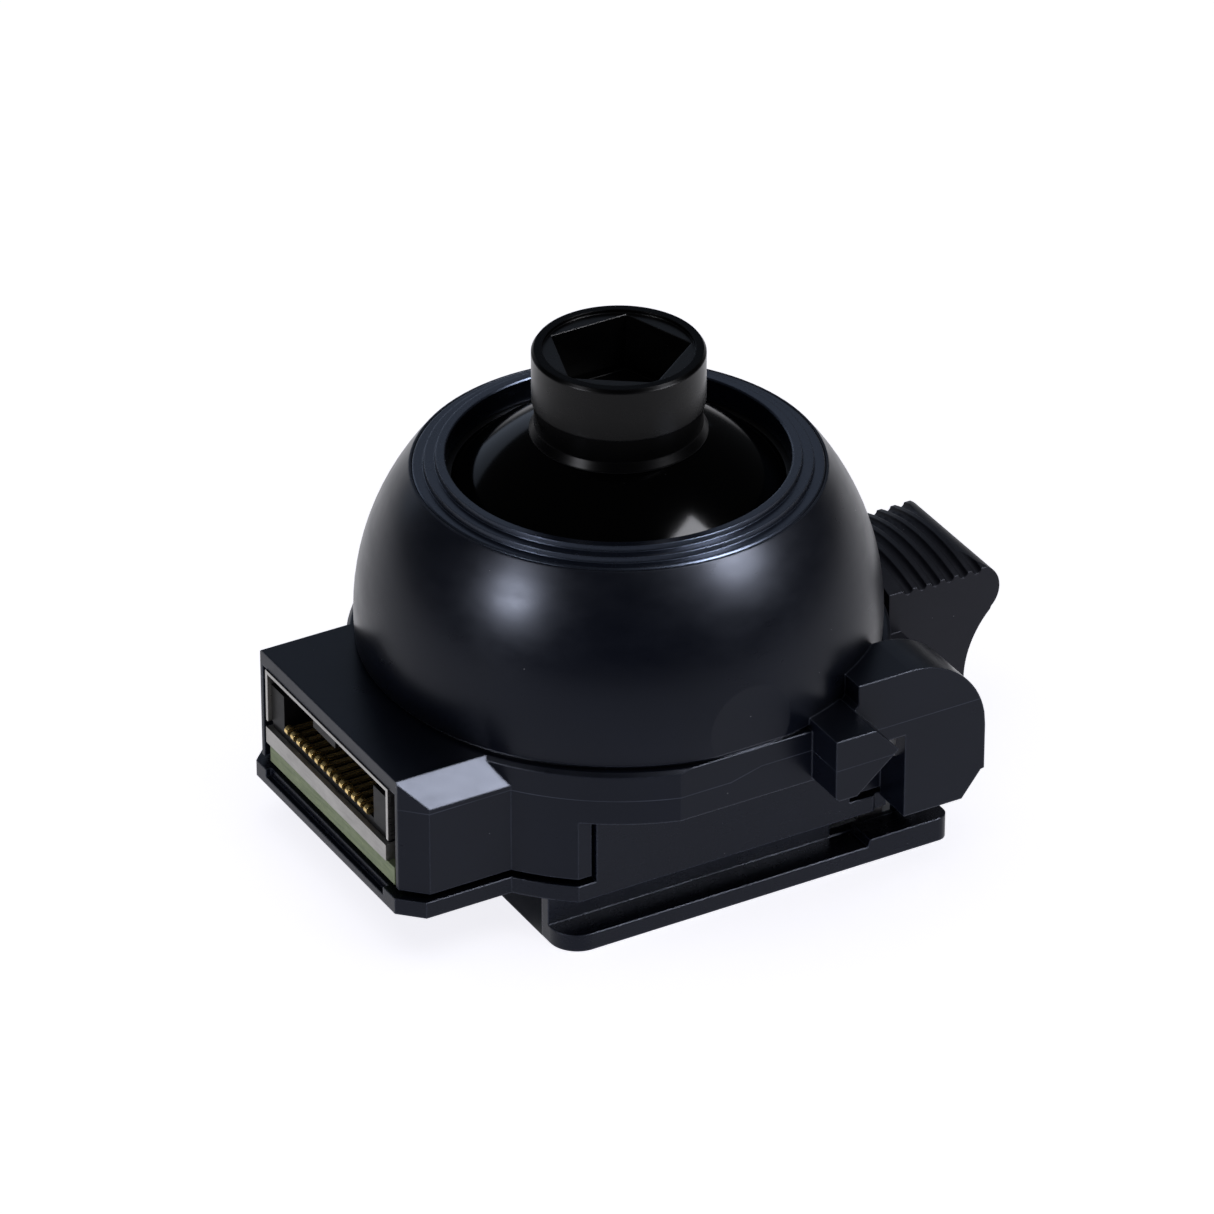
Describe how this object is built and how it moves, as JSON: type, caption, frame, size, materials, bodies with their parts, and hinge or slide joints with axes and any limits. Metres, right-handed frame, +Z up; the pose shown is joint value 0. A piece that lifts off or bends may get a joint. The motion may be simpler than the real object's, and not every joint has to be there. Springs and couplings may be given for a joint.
{
  "type": "pan tilt camera mount",
  "caption": "Low domed camera mount with a ball joint, a five-sided key socket in its short stem, a rear release lever, a slide-in shoe and a front docking plug.",
  "frame": {"origin": "on the ball's vertical axis, at the underside of the two slide rails", "axes": "+Z up along the stem at rest, +X along the rails towards the release lever, so the docking plug faces -X"},
  "size_m": [0.0576, 0.048, 0.0408],
  "materials": {
    "housing_plastic": "satin navy-black moulding",
    "cover_plastic": "satin black moulding",
    "lever_plastic": "fine satin black moulding",
    "ball_plastic": "polished black",
    "stem_metal": "black anodised, satin",
    "bearing_plastic": "natural acetal",
    "cup_plastic": "grey glass-filled nylon",
    "steel": "zinc plated",
    "spring_steel": "drawn wire",
    "screw_steel": "black oxide",
    "plug_metal": "tin plated",
    "plug_plastic": "glass-filled black",
    "contact_metal": "gold flash",
    "board": "green solder mask",
    "strip_plastic": "grey moulding"
  },
  "bodies": {
    "mount_body": {"upper_housing": "housing_plastic", "base_cover": "cover_plastic", "slide_shoe": "cover_plastic", "retaining_ring": "housing_plastic", "seat_liner": "bearing_plastic", "guide_post": "steel", "spring_seat": "steel", "pressure_spring": "spring_steel", "lever_pins": "steel", "lever_springs": "spring_steel", "docking_board": "board", "connector_shell": "plug_metal", "connector_insulator": "plug_plastic", "connector_contacts": "contact_metal", "connector_flange": "strip_plastic", "housing_screws": "screw_steel", "shoe_screws": "screw_steel", "board_screws": "screw_steel"},
    "pan_carrier": {"pressure_cup": "cup_plastic", "thrust_washer": "bearing_plastic"},
    "ball_head": {"tilt_ball": "ball_plastic"},
    "stem_head": {"stem": "stem_metal", "stem_washer": "steel", "stem_nut": "steel"},
    "lever": {"release_lever": "lever_plastic", "latch_hooks": "steel", "hook_rivets": "steel"}
  },
  "joints": [
    {"name": "pan", "type": "hinge", "parent": "mount_body", "child": "pan_carrier", "pos_m": [0, 0, 0.0176], "axis": [0, 0, 1], "continuous": true},
    {"name": "tilt", "type": "hinge", "parent": "pan_carrier", "child": "ball_head", "pos_m": [0, 0, 0.0176], "axis": [1, 0, 0], "range_deg": [-19, 19]},
    {"name": "stem_turn", "type": "hinge", "parent": "ball_head", "child": "stem_head", "pos_m": [0, 0, 0.0176], "axis": [0, 0, 1], "continuous": true},
    {"name": "lever_press", "type": "hinge", "parent": "mount_body", "child": "lever", "pos_m": [0.0142, 0, 0.01125], "axis": [0, 1, 0], "range_deg": [0, 12], "stiffness_Nm_per_rad": 0.06, "springref_deg": -20.05}
  ]
}
